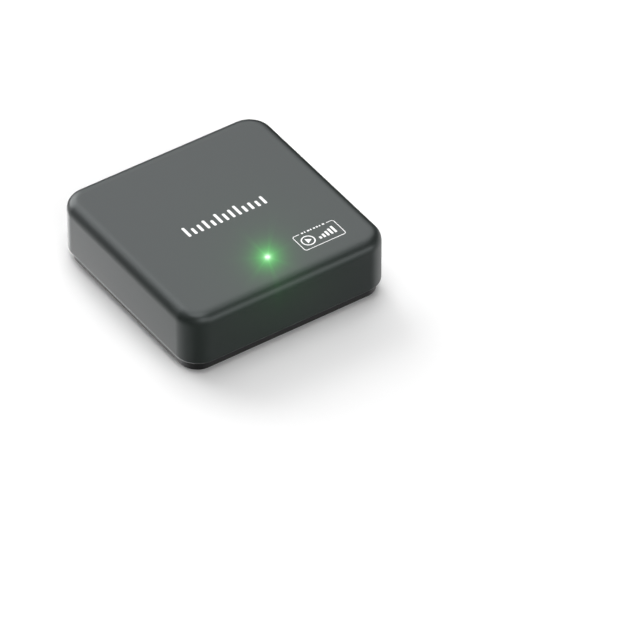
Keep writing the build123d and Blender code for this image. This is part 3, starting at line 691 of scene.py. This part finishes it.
signs = {
    "power": hoop(0, 0.9, 0.75, 0.18) + [disc(0, 0.9, 0.3, 16)] + stroke([(1.1, 0.9), (1.9, 0.9)], 0.18),
    "video": [("band", pill(-1.5, 1.5, 0.35, 1.9, 0.2), pill(-1.32, 1.32, 0.53, 1.72, 0.08), True),
              pill(-0.8, 0.8, 0.0, 0.18, 0.05)],
    "network": stroke([(0, 1.3), (0, 0.9)], 0.18) + stroke([(-1.2, 0.9), (1.2, 0.9)], 0.18)
               + [pill(x - 0.35, x + 0.35, 0.0, 0.6, 0.08) for x in (-1.2, 0, 1.2)]
               + [pill(-0.4, 0.4, 1.3, 1.9, 0.08)]
               + [pill(x - 0.09, x + 0.09, 0.55, 0.95, 0.02) for x in (-1.2, 0, 1.2)],
    "usb": [pill(-1.0, 0.3, 0.45, 1.45, 0.15)] + [pill(0.3, 1.0, z, z + 0.18, 0.03) for z in (0.65, 1.07)],
    "reset": [("band", disc(0, 0.95, 0.85, 28)[2:24], disc(0, 0.95, 0.67, 28)[2:24], False),
              [(0.35, 0.55), (1.05, 0.5), (0.75, 1.15)]],
}
grey_ink = moulded("grey_ink", (0.55, 0.56, 0.56), 0.5, grain=0.1, depth=0.001, drift=2.0, IOR=1.45)
for port, shapes in signs.items():
    dress_piece(made_of(f"{port}_sign", *film(shapes, on_back(port), 0.03)), grey_ink)
print("signs for", ", ".join(signs))

# %% [markdown]
# ## Small moulded and stamped detail
# Three things that solids left plain: the rubber feet have a turned rim round a shallow dish, the
# network socket has two little lamps below its mouth, and steel springs stand in the USB shell where the
# plug's shell is gripped. Each is a few faces, so each is drawn where it is and rides with the box.

# %% Feet
foot_rubber = moulded("foot_rubber", (0.030, 0.030, 0.031), 0.72, grain=0.35, depth=0.015, drift=2.5)
foot_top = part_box("rubber_foot_1")[1].z / MM
FOOT_SECTION = [(0.02, foot_top), (5.58, foot_top), (5.58, 0.5), (5.42, 0.18), (5.1, 0.0), (4.3, 0.0),
                (4.05, 0.12), (3.95, 0.32), (0.6, 0.36), (0.5, 0.5), (0.02, 0.52)]
for n, (x, y) in enumerate(screw_places, 1):
    foot = made_of(f"turned_foot_{n}", *turned(x, y, FOOT_SECTION, 48))
    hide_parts(f"rubber_foot_{n}")
    dress_piece(foot, foot_rubber)

# %% Network lamps and USB springs
LAMP_SPREAD, LAMP_HALF, LAMP_LOW, LAMP_HIGH = 5.6, 1.2, 9.4, 10.9
LEAF_SPREAD, LEAF_HALF, LEAF_THICKNESS = 3.4, 0.8, 0.12
housing_low, housing_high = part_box("network_housing")
lamp_x = (housing_low.x + housing_high.x) / 2 / MM
lamp_y = housing_high.y / MM
amber = moulded("amber_lamp", (0.62, 0.30, 0.04), 0.25, grain=0.5, drift=1.2)
leaf_green = moulded("green_lamp", (0.10, 0.42, 0.10), 0.25, grain=0.5, drift=1.2)
for name, side, finish in (("link_lamp_green", -1, leaf_green), ("link_lamp_amber", 1, amber)):
    x = lamp_x + side * LAMP_SPREAD
    shape = film([pill(x - LAMP_HALF, x + LAMP_HALF, LAMP_LOW, LAMP_HIGH, 0.25)],
                 lambda across, up, proud: (across, lamp_y - 0.02 + proud, up), 0.2)
    dress_piece(made_of(name, *shape), finish)

usb_low, usb_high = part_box("usb_shell")
usb_x, usb_face = (usb_low.x + usb_high.x) / 2 / MM, usb_high.y / MM
usb_top = usb_high.z / MM - 0.35
spring_steel = plated("spring_leaf", (0.60, 0.59, 0.56), 0.3, (1, 8, 1))
leaves = []
for x in (usb_x - LEAF_SPREAD, usb_x + LEAF_SPREAD):
    profile = [(-1.2, 0.0), (-3.0, -0.28), (-4.6, -0.42), (-6.6, -0.05)]
    lower = [(usb_face + y, usb_top + z - LEAF_THICKNESS) for y, z in profile]
    upper = [(usb_face + y, usb_top + z) for y, z in profile]
    loop = lower + upper[::-1]
    points = [(x - LEAF_HALF, *p) for p in loop] + [(x + LEAF_HALF, *p) for p in loop]
    count = len(loop)
    faces = [(n, (n + 1) % count, count + (n + 1) % count, count + n) for n in range(count)]
    faces += [tuple(reversed(range(count))), tuple(range(count, 2 * count))]
    leaves.append((points, faces))
dress_piece(made_of("usb_grip_springs", *join(leaves)), spring_steel)
print("feet, two lamps and", len(leaves), "springs")

# %% [markdown]
# ## The other finishes
# The rest keep their solid shapes and only need their materials. The base is a plainer, blacker plastic
# than the cover, the sockets are nickel-plated steel round glass-filled plastic, and the board is green
# lacquer over copper: its traces show as slightly raised, paler lines.

# %% Base and label
base = moulded("base_plastic", (0.0105, 0.0110, 0.0112), 0.5, grain=0.26, depth=0.012)
dress(base, "base_cover")

label_low, label_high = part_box("rating_label")
label = Finish("label_film", IOR=1.45)
label_centre = ((label_low.x + label_high.x) / 2 / MM, (label_low.y + label_high.y) / 2 / MM, 0.0)
inside = label.vector("SUBTRACT", label.place, label_centre)
across, along = abs(label.axis(inside, "X")), label.axis(inside, "Y")
half_x = (label_high.x - label_low.x) / 2 / MM - 1.2
half_y = (label_high.y - label_low.y) / 2 / MM - 1.2


def near(finish, value, place, half):
    """1 within a distance of a place, with an edge a twentieth of a millimetre soft."""
    return finish.step(abs(value - place), half + 0.05, half)


within_x = label.step(across, half_x + 0.1, half_x)
within_y = label.step(abs(along), half_y + 0.1, half_y)
border = near(label, across, half_x, 0.12) * within_y + near(label, abs(along), half_y, 0.12) * within_x
rules = near(label, along, 2.0, 0.08) + near(label, along, -2.0, 0.08)
printed = label.step(border + rules * within_x, 0.0, 1.0)
wear = label.noise(2.2, 4.0)
label.drive("Base Color", label.blend(printed, (0.030, 0.031, 0.033, 1), (0.42, 0.42, 0.43, 1)))
label.drive("Roughness", 0.28 + 0.18 * wear)
label.bump(label.noise(0.5, 2.0), 0.004)
dress(label, "rating_label")

# %% Board
lacquer = Finish("board_laminate", IOR=1.5)
x, y = lacquer.axis(lacquer.place, "X"), lacquer.axis(lacquer.place, "Y")


def comb(finish, value, pitch, width, wander):
    """Lines a pitch apart along an axis; wander makes a bundle step sideways now and then."""
    shifted = value / pitch + wander
    share = finish.math("FRACT", shifted)
    return finish.step(abs(share - 0.5), width / pitch / 2 + 0.04, width / pitch / 2)


bundle = lacquer.step(lacquer.noise(11.0, 1.0), 0.46, 0.54)
kinks = lacquer.step(lacquer.noise(6.5, 0.0), 0.48, 0.52)
lengthwise, crosswise = comb(lacquer, x, 0.8, 0.3, 0.5 * kinks), comb(lacquer, y, 0.9, 0.3, 0.5 * kinks)
traces = lengthwise * bundle + crosswise * (1 - bundle)
holes = lacquer.step(lacquer.cells(2.6, (1, 1, 0.02)), 0.10, 0.07)
flow = lacquer.noise(7.0, 2.0)
green_low = lacquer.blend(flow, (0.007, 0.062, 0.028, 1), (0.010, 0.080, 0.036, 1))
with_traces = lacquer.blend(traces, green_low, (0.022, 0.150, 0.062, 1))
lacquer.drive("Base Color", lacquer.blend(holes, with_traces, (0.55, 0.44, 0.24, 1)))
lacquer.drive("Metallic", holes * 0.9)
lacquer.drive("Roughness", 0.26 + 0.10 * flow + 0.12 * holes)
lacquer.bump(traces + 0.6 * holes, 0.03)
dress(lacquer, "main_board")

blue = moulded("radio_laminate", (0.010, 0.030, 0.090), 0.3, grain=0.5, depth=0.01, drift=3.0)
dress(blue, "radio_module")
print("base, label and board finished")

# %% Chips and parts on the board
epoxy = moulded("chip_epoxy", (0.021, 0.021, 0.023), 0.55, grain=0.12, depth=0.008, drift=2.5)
dress(epoxy, "processor", "memory_chip_front", "memory_chip_rear", "flash_chip", "power_chip",
      "power_inductors", "network_transformer")

tan = Finish("ceramic")
ends = tan.step(tan.facing("Y"), 0.4, 0.7)
speckle = tan.noise(0.2, 3.0)
tan.drive("Base Color", tan.blend(ends, (0.44, 0.30, 0.18, 1), (0.66, 0.65, 0.62, 1)))
tan.drive("Metallic", ends)
tan.drive("Roughness", 0.35 + 0.15 * speckle)
tan.bump(speckle, 0.01)
dress(tan, "chip_capacitors")

can = plated("can_aluminium", (0.78, 0.78, 0.80), 0.28, (1, 1, 9))
sink = plated("sink_aluminium", (0.56, 0.57, 0.59), 0.38, (9, 0.6, 9), depth=0.006)
tin = plated("tin_plate", (0.66, 0.66, 0.65), 0.26, (6, 1, 1))
wire = plated("spring_steel", (0.52, 0.52, 0.53), 0.3)
zinc = plated("screw_steel", (0.48, 0.49, 0.52), 0.34, depth=0.006)
dress(can, "filter_capacitors")
dress(sink, "heat_sink")
dress(tin, "crystal_can", "radio_shield")
dress(wire, "heat_sink_springs")
dress(zinc, "case_screws", "board_screws")

dress(moulded("pin_plastic", (0.72, 0.71, 0.66), 0.45, grain=0.3, IOR=1.53), "heat_sink_pins")
dress(moulded("pad_silicone", (0.34, 0.40, 0.60), 0.7, grain=0.4, depth=0.02, drift=2.0), "thermal_pad")
dress(moulded("aerial_film", (0.020, 0.020, 0.021), 0.22, grain=0.8, depth=0.008, drift=4.0),
      "aerial_left", "aerial_right")
dress(moulded("lead_jacket", (0.030, 0.030, 0.032), 0.35, grain=0.5, depth=0.006, drift=5.0),
      "aerial_lead_left", "aerial_lead_right")
dress(moulded("infrared_resin", (0.030, 0.010, 0.011), 0.12, grain=0.7, depth=0.003, drift=2.0),
      "infrared_receiver")
print("parts on the board finished")

# %% Sockets, button and lamp
nickel = plated("socket_steel", (0.63, 0.62, 0.58), 0.27, (1, 7, 1))
gold = plated("gold_contact", (0.86, 0.64, 0.27), 0.22, (1, 6, 1))
filled = moulded("socket_plastic", (0.020, 0.020, 0.020), 0.48, grain=0.18, depth=0.008, drift=3.0)
dress(nickel, "video_shell", "network_shell", "usb_shell", "power_pin", "power_contact")
dress(gold, "video_contacts", "network_contacts", "usb_contacts")
dress(filled, "video_tongue", "network_housing", "usb_tongue", "power_housing")
dress(moulded("button_plastic", (0.042, 0.044, 0.047), 0.4, grain=0.15, drift=1.5), "reset_button")
dress(moulded("switch_plastic", (0.60, 0.57, 0.48), 0.45, grain=0.3, drift=2.0),
      "reset_plunger", "reset_switch")

lens = Finish("lens_resin", Roughness=0.15, Emission_Strength=2.0)
lens.drive("Base Color", lens.blend(lens.noise(0.5), (0.55, 0.80, 0.60, 1), (0.70, 0.92, 0.74, 1)))
lens.drive("Emission Color", lens.tint((0.10, 1.0, 0.22), 0.7 + 0.5 * lens.noise(0.9)))
dress(lens, "status_led")
print("all", len(nodes), "nodes have a finish")

# %% [markdown]
# ## Size
# The frame's box is printed at the start, when the frame is loaded.
